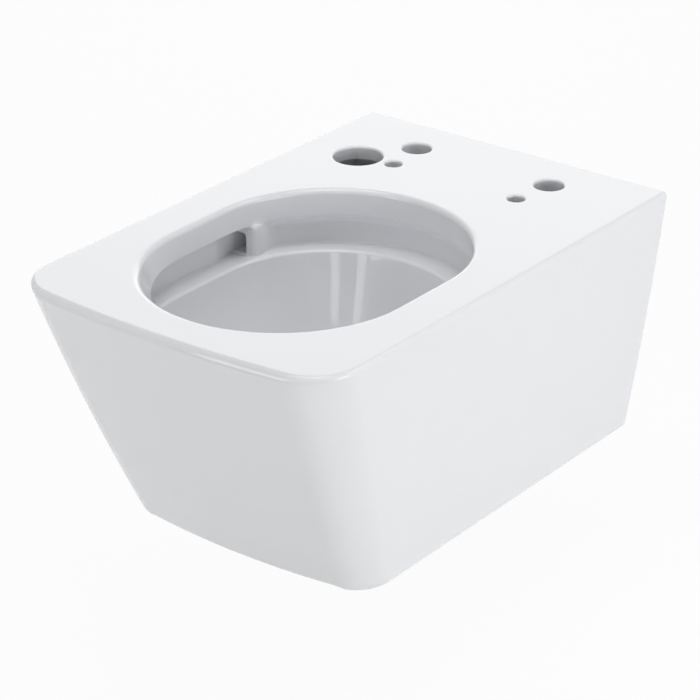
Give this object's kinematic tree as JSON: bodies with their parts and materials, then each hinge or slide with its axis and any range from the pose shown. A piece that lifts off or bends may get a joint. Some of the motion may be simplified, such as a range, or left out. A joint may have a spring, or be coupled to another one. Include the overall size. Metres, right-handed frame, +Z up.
{
  "type": "wall hung toilet",
  "caption": "Wall hung toilet pan with a flat square-fronted deck, tapered skirt, open flush channel under the rim, horizontal trap outlet and concealed wall clamps.",
  "frame": {"origin": "on the wall plane, midway between the two wall studs", "axes": "+X right as seen by someone who faces the pan, +Y into the wall, +Z up"},
  "size_m": [0.3798, 0.576, 0.285],
  "materials": {
    "glazed_china": "gloss white glaze",
    "seal_rubber": "matt black",
    "zinc_steel": "zinc plated",
    "white_nylon": "moulded",
    "grey_nylon": "moulded"
  },
  "bodies": {
    "pan": {"deck_rim": "glazed_china", "shroud": "glazed_china", "bowl": "glazed_china", "channel_wall": "glazed_china", "flush_distributor": "glazed_china", "inlet_chamber": "glazed_china", "trapway": "glazed_china", "inlet_seal": "seal_rubber", "wall_anchor_left": "zinc_steel", "wall_anchor_right": "zinc_steel", "wall_washer_left": "white_nylon", "wall_washer_right": "white_nylon", "sleeve_left": "white_nylon", "sleeve_right": "white_nylon", "clamp_block_left": "grey_nylon", "clamp_block_right": "grey_nylon"},
    "jaw_left": {"clamp_jaw_left": "zinc_steel"},
    "jaw_right": {"clamp_jaw_right": "zinc_steel"},
    "screw_left": {"clamp_screw_left": "zinc_steel"},
    "screw_right": {"clamp_screw_right": "zinc_steel"}
  },
  "joints": [
    {"name": "jaw_left_lift", "type": "slide", "parent": "pan", "child": "jaw_left", "axis": [0, 0, 1], "range_m": [0, 0.0045]},
    {"name": "screw_left_turn", "type": "hinge", "parent": "jaw_left", "child": "screw_left", "pos_m": [-0.09, -0.057, 0.03], "axis": [0, 0, 1], "range_deg": [0, 1080]},
    {"name": "jaw_right_lift", "type": "slide", "parent": "pan", "child": "jaw_right", "axis": [0, 0, 1], "range_m": [0, 0.0045]},
    {"name": "screw_right_turn", "type": "hinge", "parent": "jaw_right", "child": "screw_right", "pos_m": [0.09, -0.057, 0.03], "axis": [0, 0, 1], "range_deg": [0, 1080]}
  ],
  "couplings": [
    {"joint": "screw_left_turn", "follows": "jaw_left_lift", "rad_per_m": 4188.8},
    {"joint": "screw_right_turn", "follows": "jaw_right_lift", "rad_per_m": 4188.8}
  ]
}
